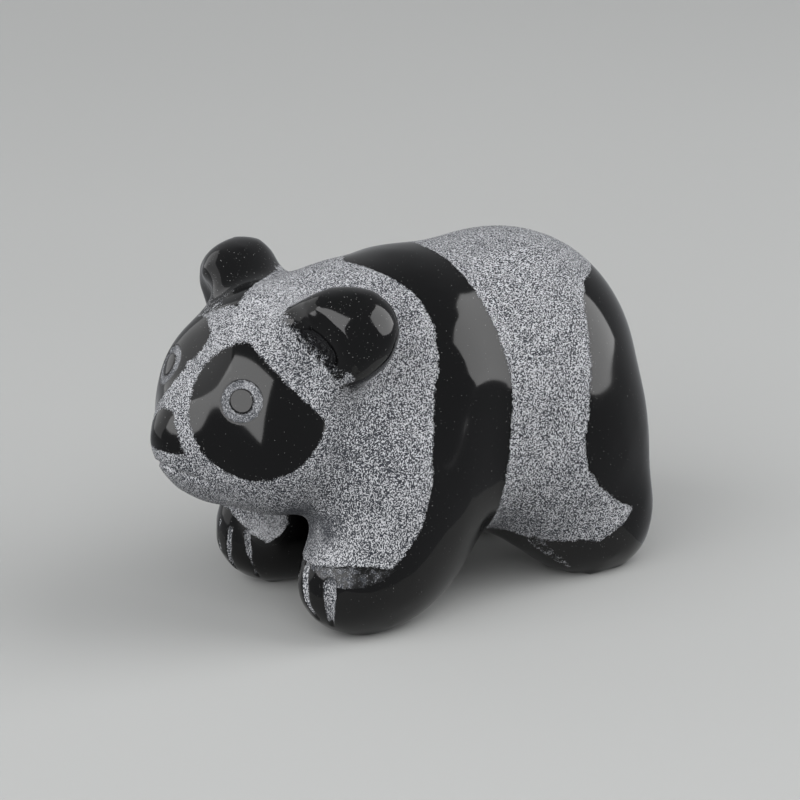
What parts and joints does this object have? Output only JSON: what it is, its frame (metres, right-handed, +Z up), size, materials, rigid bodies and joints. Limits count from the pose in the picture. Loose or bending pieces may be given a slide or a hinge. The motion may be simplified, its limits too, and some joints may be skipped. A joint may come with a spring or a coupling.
{
  "type": "stone panda figurine",
  "caption": "Small carved stone panda standing on its feet, with round ears, a rounded head held low and forward, a humped back and stout legs.",
  "frame": {"origin": "middle of the figure's outline, on the plane that its soles stand on", "axes": "+Z up, -Y the way the panda faces, +X its left side, which the picture shows"},
  "size_m": [0.0332, 0.0674, 0.0436],
  "materials": {
    "stone": "polished black stone, with the white fur etched and stippled to a frosted grey"
  },
  "bodies": {
    "root": {"panda": "stone"}
  },
  "joints": []
}
